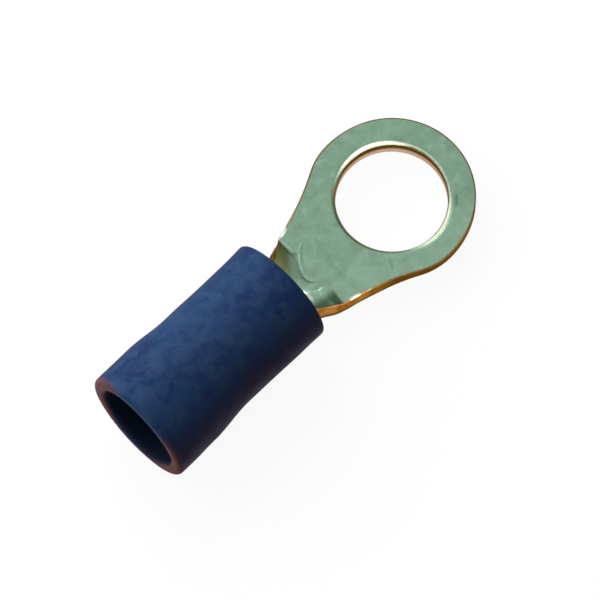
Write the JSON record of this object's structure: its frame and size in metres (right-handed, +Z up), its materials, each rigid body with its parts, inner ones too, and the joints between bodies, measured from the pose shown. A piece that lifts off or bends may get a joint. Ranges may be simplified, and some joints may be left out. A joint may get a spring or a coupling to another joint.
{
  "type": "ring terminal",
  "caption": "Insulated ring terminal: flat ring tongue for an M4 stud, rolled wire barrel behind it, and a vinyl sleeve that widens towards the wire entry.",
  "frame": {"origin": "centre of the stud hole, on the underside of the ring tongue", "axes": "+X from the wire entry to the tip of the ring, +Z up out of the tongue, on the barrel's side"},
  "size_m": [0.0169, 0.0064, 0.0047],
  "materials": {
    "tinned_copper": "satin",
    "blue_vinyl": "matte"
  },
  "bodies": {
    "root": {"tinned_terminal": "tinned_copper", "insulating_sleeve": "blue_vinyl"}
  },
  "joints": []
}
